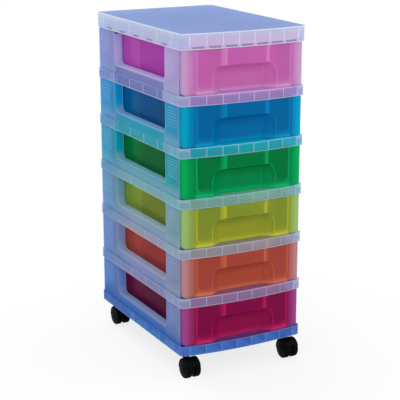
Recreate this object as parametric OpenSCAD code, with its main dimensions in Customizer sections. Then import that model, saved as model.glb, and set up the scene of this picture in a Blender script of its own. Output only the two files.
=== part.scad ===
// Drawer tower: six stacked clear cases with a lid, six coloured drawers and four twin-wheel castors.
// The front faces -Y, +X is to the right and +Z is up. The origin is on the floor, under the middle.

/* [Cases] */
// Width across the ribbed bands
tower_w = 300; // [280:2:330]
// Depth of the straight sides, from the front corners to the back
side_d = 428; // [400:2:470]
// How far the front bows out between its corners
bow = 12; // [8:1:16]
// Height that each case adds to the stack
pitch = 110; // [102:1:124]
// Wall thickness of the case and lid mouldings
wall = 2; // [1.6:0.1:2.4]
// Outer corner radius in plan
corner_r = 10; // [8:0.5:14]
// Height of the ribbed band round each case's tray
band_h = 22; // [20:0.5:25]
// Height of the lid's band
lid_h = 33; // [28:1:38]
// Height of the bead round the edge of the lid's top
bead_h = 0.8; // [0.4:0.1:1.2]
// Width of the bead round the edge of the lid's top
bead_w = 2.5; // [1.5:0.1:4]
// Height that a case's walls reach up inside the band above them
nest = 14; // [11:0.5:16]
// Gap between a nested wall and the band round it
nest_gap = 0.3; // [0.2:0.05:0.5]
// Extra height of the top bay, where the lid's band hides less of the case
top_gain = 6.5; // [5:0.5:9]

/* [Ribs] */
// Spacing of the ribs that run front to back
rib_pitch_x = 37; // [30:1:42]
// Ribs that run front to back
ribs_x = 8; // [6:2:8]
// Spacing of the ribs that run side to side
rib_pitch_y = 70; // [60:1:76]
// Ribs that run side to side
ribs_y = 6; // [4:2:6]
// Thickness of the ribs
rib_t = 1.8; // [1.2:0.1:2.2]
// Clear height between the side boxes and the ribs above them
rib_clear = 0.5; // [0.3:0.1:1]

/* [Side windows] */
// Distance from the front corner to a side window
window_front = 77; // [70:1:90]
// Length of a side window
window_len = 259; // [220:1:264]
// Height of a side window's sill above the case's bottom edge
window_sill = 42; // [34:1:50]
// Radius of a side window's lower corners
window_r = 14; // [8:0.5:20]
// How far behind the rounded front corner the outer skin starts
skin_set = 1.5; // [1.25:0.25:3]
// Length of the small embossed ribs beside each window
ladder_len = 42; // [34:1:45]
// Distance from the case's end to the embossed ribs
ladder_inset = 22; // [20:0.5:26]
// Height of the lowest embossed rib above the case's bottom edge
ladder_z = 62; // [56:1:64]
// Spacing of the embossed ribs
ladder_pitch = 6.3; // [5:0.1:6.5]
// Embossed ribs in each group
ladder_ribs = 7; // [4:1:7]
// Height of one embossed rib
ladder_rib_h = 1.6; // [1:0.1:2.4]
// How far an embossed rib stands out of the skin
ladder_proud = 0.6; // [0.3:0.1:1]

/* [Drawers] */
// Width of a drawer's box
drawer_w = 252; // [236:1:254]
// Drop from the top of a drawer's front panel to the rim of its box
rim_drop = 1; // [0.5:0.5:20]
// Wall thickness of a drawer
drawer_wall = 2; // [1.4:0.1:2.4]
// Thickness of a drawer's front panel
front_t = 2.5; // [2:0.1:3]
// Width of a drawer's front panel
front_w = 290; // [284:0.5:290]
// How far the front panel stands behind the bands
front_set = 3.5; // [2:0.1:4.5]
// Radius of the box's upright corners
drawer_r = 15; // [10:0.5:20]
// Radius of the front panel's upright corners
front_r = 8; // [5:0.5:10]
// Radius of the front panel's two lower corners, seen from the front
front_low_r = 8; // [4:0.5:10]
// How far the front panel's ends turn back
wing_len = 14; // [10:0.5:16]
// Gap under a drawer
drawer_drop = 0.3; // [0.2:0.05:0.5]
// Gap over a drawer's front panel
head_gap = 0.5; // [0.4:0.1:1]
// Gap behind a drawer
back_gap = 5; // [3:0.5:8]
// Gap at each side between a drawer's box and the side boxes
guide_gap = 1.2; // [1:0.05:1.6]
// How far a drawer slides out
travel = 320; // [280:1:330]
// Height of the stop ridge on a side box, and of the shoulder on a drawer that meets it
stop_proud = 0.8; // [0.7:0.05:0.9]
// Depth of a stop ridge or shoulder, front to back
stop_t = 4; // [3:0.5:6]
// Distance from the front corner to a stop ridge
stop_y = 26; // [22:0.5:30]
// Gap left between ridge and shoulder with the drawer fully out
stop_gap = 0.3; // [0.2:0.05:0.5]

/* [Handle] */
// Half width of the raised pad at its face
pad_face = 47; // [42:0.5:50]
// Half width of the raised pad at its foot
pad_foot = 59; // [54:0.5:62]
// How far the raised pad stands out of the front panel
pad_proud = 5; // [4.6:0.1:6.5]
// Half width of the finger recess where it meets the front panel
mouth_hw = 76; // [68:0.5:82]
// Height of the finger recess
mouth_h = 58; // [48:0.5:62]
// Radius of the finger recess's upper corners
mouth_r = 28; // [18:0.5:34]
// Depth of the finger recess behind the bowed panel
recess_d = 19; // [14:0.5:24]
// Half width of the finger recess at its back
recess_hw = 52; // [44:0.5:58]
// Height of the finger recess at its back
recess_h = 48; // [40:0.5:54]

/* [Castors] */
// Height of the cases' underside above the floor
castor_h = 54; // [52:0.5:60]
// Wheel radius
wheel_r = 21; // [18:0.5:21.5]
// Width of one wheel, without its domed cap
wheel_w = 13; // [10:0.5:15]
// How far a wheel's domed cap stands out
wheel_dome = 3; // [1.5:0.25:4]
// Radius of a wheel's domed cap
cap_r = 15; // [12:0.5:16]
// Rounding of a wheel's outer edge
wheel_edge = 4; // [2:0.25:5]
// Thickness of the web between a castor's wheels
web_t = 8; // [8:0.5:10]
// Gap between a wheel and the hood
wheel_gap = 0.8; // [0.5:0.1:1.2]
// Thickness of the hood over the wheels
hood_t = 2.2; // [1.6:0.1:3]
// Distance from the swivel axis back to the axle
trail = 20; // [18:0.5:22]
// Radius of the axle
axle_r = 3; // [2.5:0.1:3.5]
// How far the axle reaches into each wheel
axle_in = 11; // [8:0.5:12]
// Radius of the stem
stem_r = 4; // [3:0.1:4.4]
// Thickness of the hood's boss round the stem
boss_t = 3.5; // [2.5:0.1:4]
// Radial gap between stem and hood, and between axle and wheel
run_gap = 0.05; // [0.02:0.01:0.1]
// Thickness of the stem's flange under the case
flange_t = 1.5; // [1:0.1:2]
// How far the flange stands out round the stem
flange_w = 4.5; // [3:0.25:6]
// Gap between the hood and the flange
flange_gap = 0.4; // [0.3:0.05:0.6]
// Length of the stem inside the hood
stem_hood = 12; // [8:0.5:12]
// Length of the stem inside its socket
stem_in = 17; // [14:0.5:17.5]
// Radius of the socket for the stem
socket_r = 5.5; // [5:0.1:6]
// Length of the grip ring round the stem
ring_len = 6; // [4:0.5:8]
// Height of the grip ring above the socket's mouth
ring_z = 6; // [3:0.5:8]
// Distance from the side of the tower to a stem
stem_side = 25.5; // [25:0.5:30]
// Distance from the front corner, or from the back, to a stem
stem_end = 29; // [28:0.5:36]

/* [Hidden] */
CASES = 6;
CORNERS = [["front", "left"], ["front", "right"], ["back", "left"], ["back", "right"]];
PIECES = ["stem", "ring", "hood", "axle", "wheel_left", "wheel_right"];
COLOURS = ["hotpink", "deepskyblue", "seagreen", "yellowgreen", "orangered", "crimson"];

$fn = 48;
ARC_FN = 1440;     // the bow's large circle
over = 1;          // how far a cut runs past the face that it opens
half_w = tower_w / 2;
front_y = (bow + pad_proud - front_set - side_d) / 2;
back_y = front_y + side_d;
bow_r = (half_w * half_w + bow * bow) / (2 * bow);
bow_y = front_y - bow + bow_r;
corner_y = bow_y - sqrt(pow(bow_r - corner_r, 2) - pow(half_w - corner_r, 2));
skin_y = corner_y + skin_set;
rim_in = wall + nest_gap;
rim_back = rim_in + wall;
guide_x = drawer_w / 2 + guide_gap;
box_end = front_y + wing_len + over;
box_low = band_h - wall;
box_top = pitch - rib_clear;
panel_r = bow_r - front_set;
panel_y = bow_y - panel_r;
drawer_back = back_y - rim_back - back_gap;
front_h = pitch - band_h - drawer_drop - head_gap;
recess_y = panel_y + recess_d;
recess_lean = (mouth_hw - recess_hw) / (recess_y - panel_at(mouth_hw));
ceiling_lean = (mouth_h - recess_h) / recess_d;
stop_end = front_y + stop_y + stop_t / 2;
stem_x = half_w - stem_side;
stem_ys = [front_y + stem_end, back_y - stem_end];
stem_z = castor_h - flange_t - flange_gap - stem_hood;
hood_top = castor_h - flange_t - flange_gap;
cavity_r = wheel_r + wheel_gap;
wheel_x = web_t / 2 + wheel_gap;
hood_w = 2 * (wheel_x + wheel_w) - wheel_edge;

function panel_at(x) = bow_y - sqrt(panel_r * panel_r - x * x);
function castor_name(corner, piece) = str(corner[0], "_", corner[1], "_", piece);
function case_z(i) = castor_h + (CASES - i) * pitch;

// ---- Outlines in plan ----

// A box outline with a bowed front: half width, set-back of the bow, corner radii, and where it ends
module bowed(hw, set, r_front, y_end, r_end) {
    r_bow = bow_r - set;
    cx = hw - r_front;
    cy = bow_y - sqrt(pow(r_bow - r_front, 2) - cx * cx);
    tx = cx * r_bow / (r_bow - r_front);
    intersection() {
        translate([0, bow_y]) circle(r_bow, $fn = ARC_FN);
        translate([-tx, bow_y - r_bow - over]) square([2 * tx, cy - bow_y + r_bow + over]);
    }
    for (s = [-1, 1]) translate([s * cx, cy]) circle(r_front);
    translate([-hw, cy]) square([2 * hw, y_end - r_end - cy]);
    translate([r_end - hw, cy]) square([2 * (hw - r_end), y_end - cy]);
    for (s = [-1, 1]) translate([s * (hw - r_end), y_end - r_end]) circle(r_end);
}

module case_outline(inset) {
    bowed(half_w - inset, inset, corner_r - inset, back_y - inset, corner_r - inset);
}

module case_ring(outer, inner) {
    difference() {
        case_outline(outer);
        case_outline(inner);
    }
}

// Everything behind a line across the tower
module behind(y) {
    translate([-tower_w, y]) square([2 * tower_w, 2 * side_d]);
}

// ---- Lid and cases ----

// Inverted ribbed tray: a band, a plate on top of it and a grid of ribs below the plate.
// Its ribs are cut away to a height of seat, where the walls below reach up inside the band.
module tray(height, seat) {
    linear_extrude(height) case_ring(0, wall);
    translate([0, 0, height - wall]) linear_extrude(wall) case_outline(0);
    difference() {
        linear_extrude(height) intersection() {
            case_outline(wall / 2);
            rib_grid();
        }
        translate([0, 0, -over]) linear_extrude(seat + over) intersection() {
            case_ring(wall / 4, rim_back + nest_gap);
            behind(skin_y - over);
        }
    }
}

module rib_grid() {
    for (i = [0:ribs_x - 1])
        translate([(i - (ribs_x - 1) / 2) * rib_pitch_x - rib_t / 2, -side_d]) square([rib_t, 2 * side_d]);
    for (i = [0:ribs_y - 1])
        translate([-half_w, (front_y + back_y) / 2 + (i - (ribs_y - 1) / 2) * rib_pitch_y - rib_t / 2])
            square([tower_w, rib_t]);
}

module top_lid() {
    color("lightsteelblue") translate([0, 0, castor_h + CASES * pitch + top_gain]) {
        tray(lid_h, nest - top_gain);
        translate([0, 0, lid_h]) linear_extrude(bead_h) case_ring(0, bead_w);
    }
}

// Side window, seen along X: open at the top, with two round lower corners
module window_shape(grow) {
    y1 = front_y + window_front - grow;
    y2 = front_y + window_front + window_len + grow;
    r = window_r + grow;
    z = window_sill - grow;
    translate([y1, z + r]) square([y2 - y1, 2 * pitch]);
    translate([y1 + r, z]) square([y2 - y1 - 2 * r, r + over]);
    for (y = [y1 + r, y2 - r]) translate([y, z + r]) circle(r);
}

// Extrudes a shape drawn in Y and Z along X, from x1 to x2
module along_x(x1, x2) {
    translate([x1, 0, 0]) rotate([90, 0, 90]) linear_extrude(x2 - x1) children();
}

// Outer skin and back wall, which reach up inside the moulding above
module case_skin() {
    translate([0, 0, band_h - wall]) linear_extrude(pitch + nest - band_h + wall) intersection() {
        case_ring(rim_in, rim_back);
        behind(skin_y);
    }
}

// Hollow and stiff part of the left side: the inner wall, the front closure, the window's frame
// and the ridge that stops the drawer
module side_box() {
    skin_x = half_w - rim_in - wall / 2;
    translate([-guide_x - wall, box_end, box_low])
        cube([wall, back_y - rim_in - wall / 2 - box_end, box_top - box_low]);
    translate([-skin_x, box_end, box_low]) cube([skin_x - guide_x, wall, box_top - box_low]);
    intersection() {
        along_x(-skin_x, -guide_x) window_shape(wall);
        translate([-half_w, front_y, 0]) cube([half_w, side_d, box_top]);
    }
    translate([-guide_x - wall / 2, stop_end - stop_t, box_low])
        cube([wall / 2 + stop_proud, stop_t, box_top - box_low]);
}

// Small horizontal ribs embossed on the left skin, in front of the window and behind it
module ladders() {
    for (y = [front_y + ladder_inset, back_y - ladder_inset - ladder_len])
        for (i = [0:ladder_ribs - 1])
            translate([rim_in - half_w - ladder_proud, y, ladder_z + i * ladder_pitch])
                cube([ladder_proud + wall / 2, ladder_len, ladder_rib_h]);
}

module both_sides() {
    children();
    mirror([1, 0, 0]) children();
}

// A cylinder at each of the four castor places
module at_stems(r, z1, z2) {
    for (x = [-stem_x, stem_x]) for (y = stem_ys) translate([x, y, z1]) cylinder(r = r, h = z2 - z1);
}

module clear_case(i) {
    color("aliceblue") translate([0, 0, case_z(i)]) difference() {
        union() {
            tray(band_h, nest);
            case_skin();
            both_sides() {
                side_box();
                ladders();
            }
            at_stems(socket_r + wall, 0, box_low + wall / 2);
        }
        along_x(-tower_w, tower_w) window_shape(0);
        at_stems(socket_r, -over, box_low);
    }
}

// ---- Drawers ----

module drawer_outline(inset, front_inset) {
    bowed(drawer_w / 2 - inset, front_set + front_inset, drawer_r - inset, drawer_back - inset, drawer_r - inset);
}

// Floor and walls, with a shoulder on each side that meets the case's stop ridge
module drawer_box(h) {
    linear_extrude(drawer_wall) drawer_outline(0, 0);
    linear_extrude(h) difference() {
        drawer_outline(0, 0);
        drawer_outline(drawer_wall, front_t);
    }
    both_sides() translate([-drawer_w / 2 - stop_proud, stop_end + travel + stop_gap, 0])
        cube([stop_proud + drawer_wall / 2, stop_t, h]);
}

// Bowed front panel, whose ends turn back as short wings
module front_panel(h) {
    difference() {
        linear_extrude(h) intersection() {
            difference() {
                bowed(front_w / 2, front_set, front_r, back_y, front_r);
                bowed(front_w / 2 - front_t, front_set + front_t, front_r - front_t, back_y + over, front_r);
            }
            translate([-half_w, front_y + wing_len - side_d]) square([tower_w, side_d]);
        }
        both_sides() low_corner_cut();
    }
}

module low_corner_cut() {
    translate([-front_w / 2, front_y + wing_len + over, 0]) rotate([90, 0, 0])
        linear_extrude(wing_len + bow + 2 * over) difference() {
            translate([-over, -over]) square(front_low_r + over);
            translate([front_low_r, front_low_r]) circle(front_low_r);
        }
}

// Plan of the raised pad; inset leaves the hollow behind it
module pad_plan(inset) {
    face_r = panel_r + pad_proud - inset;
    foot_y = panel_at(pad_foot);
    face_y = bow_y - sqrt(face_r * face_r - pow(pad_face - inset, 2));
    back = foot_y + front_t / 2 + inset;
    intersection() {
        translate([0, bow_y]) circle(face_r, $fn = ARC_FN);
        polygon([[-pad_foot + inset, back], [-pad_foot + inset, foot_y + inset / 2], [-pad_face + inset, face_y],
                 [-pad_face + inset, face_y - bow], [pad_face - inset, face_y - bow], [pad_face - inset, face_y],
                 [pad_foot - inset, foot_y + inset / 2], [pad_foot - inset, back]]);
    }
}

// Finger recess: three prisms crossed, one for its slanted sides, one for its rounded mouth
// and one for its sloping ceiling. It is open to the front and below.
module recess(grow) {
    near_y = panel_y - pad_proud - over;
    far_y = recess_y + grow;
    side_grow = grow * sqrt(1 + recess_lean * recess_lean);
    near_hw = recess_hw + side_grow + recess_lean * (recess_y - near_y);
    far_hw = recess_hw + side_grow - recess_lean * grow;
    near_h = mouth_h + grow + ceiling_lean * (panel_y - near_y);
    far_h = recess_h + grow - ceiling_lean * grow;
    intersection() {
        translate([0, 0, -over]) linear_extrude(front_h)
            polygon([[-near_hw, near_y], [near_hw, near_y], [far_hw, far_y], [-far_hw, far_y]]);
        translate([0, far_y + over, 0]) rotate([90, 0, 0]) linear_extrude(far_y - near_y + 2 * over)
            mouth(mouth_hw + grow, near_h, mouth_r + grow);
        along_x(-half_w, half_w) polygon([[near_y, -over], [near_y, near_h], [far_y, far_h], [far_y, -over]]);
    }
}

module mouth(hw, h, r) {
    translate([-hw, -over]) square([2 * hw, h - r + over]);
    translate([r - hw, -over]) square([2 * (hw - r), h + over]);
    for (s = [-1, 1]) translate([s * (hw - r), h - r]) circle(r);
}

module drawer(i) {
    panel_h = front_h + (i == 1 ? top_gain : 0);
    box_h = panel_h - rim_drop;
    color(COLOURS[i - 1], 0.7) translate([0, 0, case_z(i) + band_h + drawer_drop]) difference() {
        union() {
            drawer_box(box_h);
            front_panel(panel_h);
            translate([0, 0, mouth_h]) linear_extrude(panel_h - mouth_h) pad_plan(0);
            intersection() {
                recess(drawer_wall);
                linear_extrude(box_h) drawer_outline(drawer_wall / 2, front_t / 2);
            }
        }
        recess(0);
        translate([0, 0, mouth_h + drawer_wall]) linear_extrude(panel_h) pad_plan(front_t);
    }
}

// ---- Castors ----
// Each is built round its own swivel axis, with the floor at Z 0 and its wheels trailing to the front.

module at_castor(corner) {
    x = corner[1] == "left" ? -stem_x : stem_x;
    y = corner[0] == "front" ? stem_ys[0] : stem_ys[1];
    translate([x, y, 0]) children();
}

// A cylinder along the axle's line, from x1 to x2
module on_axle(r, x1, x2) {
    translate([x1, -trail, wheel_r]) rotate([0, 90, 0]) cylinder(r = r, h = x2 - x1);
}

module castor_stem() {
    color("silver") {
        translate([0, 0, stem_z]) cylinder(r = stem_r, h = castor_h + stem_in - stem_z);
        translate([0, 0, castor_h - flange_t]) cylinder(r = stem_r + flange_w, h = flange_t);
    }
}

module castor_ring() {
    color("gray") translate([0, 0, castor_h + ring_z]) difference() {
        cylinder(r = socket_r, h = ring_len);
        translate([0, 0, -over]) cylinder(r = stem_r, h = ring_len + 2 * over);
    }
}

// Web between the wheels, cover over them and boss round the stem, in one moulding
module castor_hood() {
    boss_r = stem_r + run_gap + boss_t;
    cover_r = cavity_r + hood_t;
    color("black") difference() {
        union() {
            on_axle(wheel_r - wheel_edge, -web_t / 2, web_t / 2);
            intersection() {
                on_axle(cover_r, -hood_w / 2, hood_w / 2);
                along_x(-hood_w, hood_w) cover_side(cover_r);
            }
            translate([0, 0, wheel_r]) cylinder(r = boss_r, h = hood_top - wheel_r);
            translate([-web_t / 2, -trail, wheel_r]) cube([web_t, trail, cavity_r]);
        }
        on_axle(cavity_r, -hood_w, -web_t / 2);
        on_axle(cavity_r, web_t / 2, hood_w);
        on_axle(axle_r, -web_t, web_t);
        translate([0, 0, stem_z - run_gap]) cylinder(r = stem_r + run_gap, h = stem_hood + over);
    }
}

// Side view of the cover: it reaches further down on the stem's side
module cover_side(r) {
    translate([-trail, wheel_r]) polygon([[-r, r / 2], [r, -r / 6], [r, r], [-r, r]]);
}

module castor_axle() {
    color("silver") on_axle(axle_r, -wheel_x - axle_in, wheel_x + axle_in);
}

// One wheel, with a domed cap on its outer side and a blind bore for the axle
module castor_wheel(side) {
    dome_r = (cap_r * cap_r + wheel_dome * wheel_dome) / (2 * wheel_dome);
    color("black") translate([side * wheel_x, -trail, wheel_r]) rotate([0, side * 90, 0]) difference() {
        union() {
            rotate_extrude() {
                square([wheel_r - wheel_edge, wheel_w]);
                square([wheel_r, wheel_w - wheel_edge]);
                translate([wheel_r - wheel_edge, wheel_w - wheel_edge]) circle(wheel_edge);
            }
            intersection() {
                translate([0, 0, wheel_w + wheel_dome - dome_r]) sphere(dome_r, $fn = 96);
                translate([0, 0, wheel_w - over]) cylinder(r = cap_r, h = wheel_dome + 2 * over);
            }
        }
        translate([0, 0, -over]) cylinder(r = axle_r + run_gap, h = axle_in + 2 * over);
    }
}

module castor_piece(piece) {
    if (piece == "stem") castor_stem();
    if (piece == "ring") castor_ring();
    if (piece == "hood") castor_hood();
    if (piece == "axle") castor_axle();
    if (piece == "wheel_left") castor_wheel(-1);
    if (piece == "wheel_right") castor_wheel(1);
}

top_lid();
for (i = [1:CASES]) clear_case(i);
for (i = [1:CASES]) drawer(i);
for (c = CORNERS) for (p = PIECES)
    at_castor(c) castor_piece(p);
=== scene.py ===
import math

import bmesh
import bpy
from mathutils import Matrix, Vector


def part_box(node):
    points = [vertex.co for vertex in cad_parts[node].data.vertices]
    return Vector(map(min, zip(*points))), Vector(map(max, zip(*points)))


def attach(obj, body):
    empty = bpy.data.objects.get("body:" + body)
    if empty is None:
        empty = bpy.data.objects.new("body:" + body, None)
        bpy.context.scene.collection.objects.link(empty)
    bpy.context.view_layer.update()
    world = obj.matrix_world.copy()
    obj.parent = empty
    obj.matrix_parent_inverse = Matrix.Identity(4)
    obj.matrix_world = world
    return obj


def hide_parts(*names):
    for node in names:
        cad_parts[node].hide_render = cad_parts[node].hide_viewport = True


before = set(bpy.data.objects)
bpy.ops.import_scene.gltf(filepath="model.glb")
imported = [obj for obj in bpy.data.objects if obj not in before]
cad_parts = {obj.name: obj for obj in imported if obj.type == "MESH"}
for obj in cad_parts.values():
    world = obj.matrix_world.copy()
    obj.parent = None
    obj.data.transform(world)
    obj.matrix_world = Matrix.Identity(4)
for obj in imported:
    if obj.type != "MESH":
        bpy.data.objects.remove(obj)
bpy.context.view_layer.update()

# ---- Lid ----
# A ribbed tray turned upside down, injection moulded in satin polypropylene with a blue cast. Its band
# drops over the walls of the top case, and a low bead runs round its smooth top.

BEAD_HEIGHT = 0.0008
LID_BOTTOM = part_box("top_lid")[0].z
LID_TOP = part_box("top_lid")[1].z - BEAD_HEIGHT
HALF_WIDTH = 0.150
BACK = 0.22075
CENTRE_Y = 0.00675
BOW_CENTRE = 0.72425
BOW_RADIUS = 0.9435
CORNER_BACK = -0.1965
CORNER_WIDTH = 0.010
RIB_PITCH_X = 0.037
RIB_PITCH_Y = 0.070
RIBS_X = [side * RIB_PITCH_X * (step + 0.5) for step in range(4) for side in (-1, 1)]
RIBS_Y = [CENTRE_Y + side * RIB_PITCH_Y * (step + 0.5) for step in range(3) for side in (-1, 1)]
RIM_LINE = 0.0016
RIB_LINE = 0.0009


def put(tree, kind, settings=None, inputs=None):
    """Adds a node to a tree. An input is given a value or another node's output."""
    made = tree.nodes.new(kind)
    for key, value in (settings or {}).items():
        setattr(made, key, value)
    for key, value in (inputs or {}).items():
        if isinstance(value, bpy.types.NodeSocket):
            tree.links.new(value, made.inputs[key])
        else:
            made.inputs[key].default_value = value
    return made


def calc(tree, operation, *values):
    """The result of a calculation on numbers or other nodes' outputs."""
    return put(tree, "ShaderNodeMath", {"operation": operation}, dict(enumerate(values))).outputs[0]


def eased(tree, value, start, end, low=0.0, high=1.0):
    """A number led from one range to another, with soft ends."""
    return put(tree, "ShaderNodeMapRange", {"interpolation_type": "SMOOTHSTEP"}, {
        "Value": value, "From Min": start, "From Max": end, "To Min": low, "To Max": high}).outputs[0]


# the sockets of a node that mixes colours
MIX_FROM, MIX_TO, MIX_RESULT = 6, 7, 2


def blend(tree, factor, first, second):
    """A colour between two, each of them a colour or another node's output."""
    first, second = [colour if isinstance(colour, bpy.types.NodeSocket) else (*colour, 1)
                     for colour in (first, second)]
    return put(tree, "ShaderNodeMix", {"data_type": "RGBA"},
               {"Factor": factor, MIX_FROM: first, MIX_TO: second}).outputs[MIX_RESULT]


def toned(first, second, share):
    """A colour with a share of a second one in it."""
    return tuple((1 - share) * a + share * b for a, b in zip(first, second))


def new_material(name):
    """An empty node material and its tree."""
    material = bpy.data.materials.new(name)
    material.use_nodes = True
    material.node_tree.nodes.clear()
    return material, material.node_tree


def ramp(axis, start, end, amount=1.0, mirrored=False):
    """A mask on a piece's place along an axis, which rises from 0 at start to an amount at end. A mirrored
    one does so on both sides of the tower's middle."""
    def build(tree, where):
        along = where.outputs[axis]
        if mirrored:
            along = calc(tree, "ABSOLUTE", along)
        return eased(tree, along, start, end, high=amount)
    return build


def both(*masks):
    """Masks multiplied."""
    def build(tree, where):
        value = masks[0](tree, where)
        for mask in masks[1:]:
            value = calc(tree, "MULTIPLY", value, mask(tree, where))
        return value
    return build


def along_frame(across, middle, half, base, top, corner, rise, fall, amount=1.0):
    """A mask that follows a rounded rectangle upright on the X or Y axis. It rises over the first pair of
    distances from the rectangle's edge and falls over the second; a distance inside the edge is negative."""
    def build(tree, where):
        def past(value, centre, reach):
            size = calc(tree, "ABSOLUTE", calc(tree, "SUBTRACT", value, centre))
            return calc(tree, "SUBTRACT", size, reach - corner)

        side = past(where.outputs[across], middle, half)
        height = past(where.outputs["Z"], (base + top) / 2, (top - base) / 2)
        outward = [calc(tree, "MAXIMUM", part, 0.0) for part in (side, height)]
        diagonal = put(tree, "ShaderNodeCombineXYZ", inputs=dict(enumerate(outward)))
        length = put(tree, "ShaderNodeVectorMath", {"operation": "LENGTH"}, {0: diagonal.outputs[0]})
        inward = calc(tree, "MINIMUM", calc(tree, "MAXIMUM", side, height), 0.0)
        off = calc(tree, "SUBTRACT", calc(tree, "ADD", length.outputs["Value"], inward), corner)
        up, down = [eased(tree, off, start, end) for start, end in (rise, fall)]
        return calc(tree, "MULTIPLY", calc(tree, "MULTIPLY", up, down), amount)
    return build


WHITE = (1.0, 1.0, 1.0)
STEEPNESS = 3.0

# the painted deeper blue, which stands in for light seen through many walls: the light that it passes, what
# it scatters at the foot and at the back, how much of it gathers at the back and what part of that tints the
# light that passes, where it sets in along Y at the back and along Z at the foot, and the least share of
# light that scatters in the foot
DEEP_TINT = (0.30, 0.62, 0.92)
DEEP_BLOOM = (0.02, 0.17, 0.66)
REAR_BLOOM = (0.04, 0.26, 0.66)
REAR_PAINTED_BLUE = 0.65
REAR_TINT_PART = 0.5
REAR_RISE = (0.05, 0.19)
FOOT_RISE = (0.112, 0.074)
FOOT_HAZE = 0.72


def see_through(name, tint, bloom, share, edge_share, roughness, grain=0.10, flow=0.05, gleam=0.3, back=0.25,
                blue=0.0, rear_painted_blue=REAR_PAINTED_BLUE, gleam_tint=WHITE, zones=(), lit=()):
    """Translucent polypropylene. Light passes each surface tinted, a share of it scatters in the wall, and a
    larger share where the wall is seen along its length. Flow marks and a fine grain vary it. A painted
    deeper blue, which stands in for light seen through many walls, grows towards the back and the foot of the
    tower, by the amount that blue gives. Each zone is a mask and the colour that the wall scatters there;
    each lit part is painted light, with a mask, a colour and the share that scatters."""
    material, tree = new_material(name)
    place = put(tree, "ShaderNodeTexCoord").outputs["Object"]
    where = put(tree, "ShaderNodeSeparateXYZ", inputs={0: place})
    streaks = put(tree, "ShaderNodeMapping", inputs={"Vector": place, "Scale": (1.0, 1.0, 0.35)})
    marks = put(tree, "ShaderNodeTexNoise", inputs={
        "Vector": streaks.outputs[0], "Scale": 9.0, "Detail": 3.0, "Roughness": 0.55, "Distortion": 0.9})
    skin = put(tree, "ShaderNodeTexNoise", inputs={"Vector": place, "Scale": 1100.0, "Detail": 2.0})
    relief = put(tree, "ShaderNodeBump", inputs={
        "Height": skin.outputs["Fac"], "Strength": grain, "Distance": 0.0003}).outputs[0]
    passed = blend(tree, marks.outputs["Fac"], [c * (1 - flow) for c in tint], tint)
    milk = blend(tree, marks.outputs["Fac"], [c * (1 - flow) for c in bloom],
                 [min(1, c * (1 + flow)) for c in bloom])
    for zone, colour in zones:
        milk = blend(tree, zone(tree, where), milk, colour)
    if blue:
        rear = ramp("Y", *REAR_RISE, rear_painted_blue * blue)(tree, where)
        foot = ramp("Z", *FOOT_RISE, blue)(tree, where)
        painted_blue_share = calc(tree, "MAXIMUM", calc(tree, "MULTIPLY", rear, REAR_TINT_PART), foot)
        passed = blend(tree, painted_blue_share, passed, DEEP_TINT)
        milk = blend(tree, foot, blend(tree, rear, milk, REAR_BLOOM), DEEP_BLOOM)
    strong = [(part(tree, where), colour, least) for part, colour, least in lit]
    for part, colour, least in strong:
        milk = blend(tree, part, milk, colour)
    through = put(tree, "ShaderNodeBsdfTransparent", inputs={"Color": passed})
    body = put(tree, "ShaderNodeBsdfPrincipled", inputs={
        "Base Color": milk, "Roughness": roughness, "Specular IOR Level": 0.1, "Normal": relief})
    glow = put(tree, "ShaderNodeBsdfTranslucent", inputs={"Color": milk, "Normal": relief})
    wall = put(tree, "ShaderNodeMixShader", inputs={0: back, 1: body.outputs[0], 2: glow.outputs[0]})
    slant = put(tree, "ShaderNodeLayerWeight", inputs={"Blend": 0.5})
    steep = calc(tree, "POWER", slant.outputs["Facing"], STEEPNESS)
    hazy = put(tree, "ShaderNodeMapRange", inputs={
        "Value": steep, "To Min": share, "To Max": edge_share}).outputs[0]
    if blue:
        hazy = calc(tree, "MAXIMUM", hazy, calc(tree, "MULTIPLY", foot, FOOT_HAZE))
    for part, colour, least in strong:
        hazy = calc(tree, "MAXIMUM", hazy, calc(tree, "MULTIPLY", part, least))
    mixed = put(tree, "ShaderNodeMixShader", inputs={0: hazy, 1: through.outputs[0], 2: wall.outputs[0]})
    gloss = put(tree, "ShaderNodeBsdfGlossy", inputs={
        "Color": (*gleam_tint, 1), "Roughness": roughness, "Normal": relief})
    rim = put(tree, "ShaderNodeFresnel", inputs={"IOR": 1.45})
    sheen = calc(tree, "MULTIPLY", rim.outputs[0], gleam)
    shine = put(tree, "ShaderNodeMixShader", inputs={0: sheen, 1: mixed.outputs[0], 2: gloss.outputs[0]})
    put(tree, "ShaderNodeOutputMaterial", inputs={"Surface": shine.outputs[0]})
    return material


# corners this near each other are one, and edges this short are closed
WELD = 5e-8
SLIVER = 1e-5

# faces that meet at less than the first angle are one, and edges sharper than the second are rounded
FLAT_ANGLE = math.radians(0.5)
ROUND_ANGLE = math.radians(30)
ROUNDING = 0.0004


def close_slivers(mesh, length):
    """Merges the ends of edges under a length, where the surface stays closed."""
    for edge in sorted((e for e in mesh.edges if e.calc_length() < length), key=lambda e: e.calc_length()):
        if not edge.is_valid:
            continue
        a, b = edge.verts
        shared = {e.other_vert(a) for e in a.link_edges} & {e.other_vert(b) for e in b.link_edges}
        beside = {v for f in edge.link_faces if len(f.verts) == 3 for v in f.verts} - {a, b}
        if shared == beside:
            bmesh.ops.pointmerge(mesh, verts=[a, b], merge_co=a.co.copy())


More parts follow.
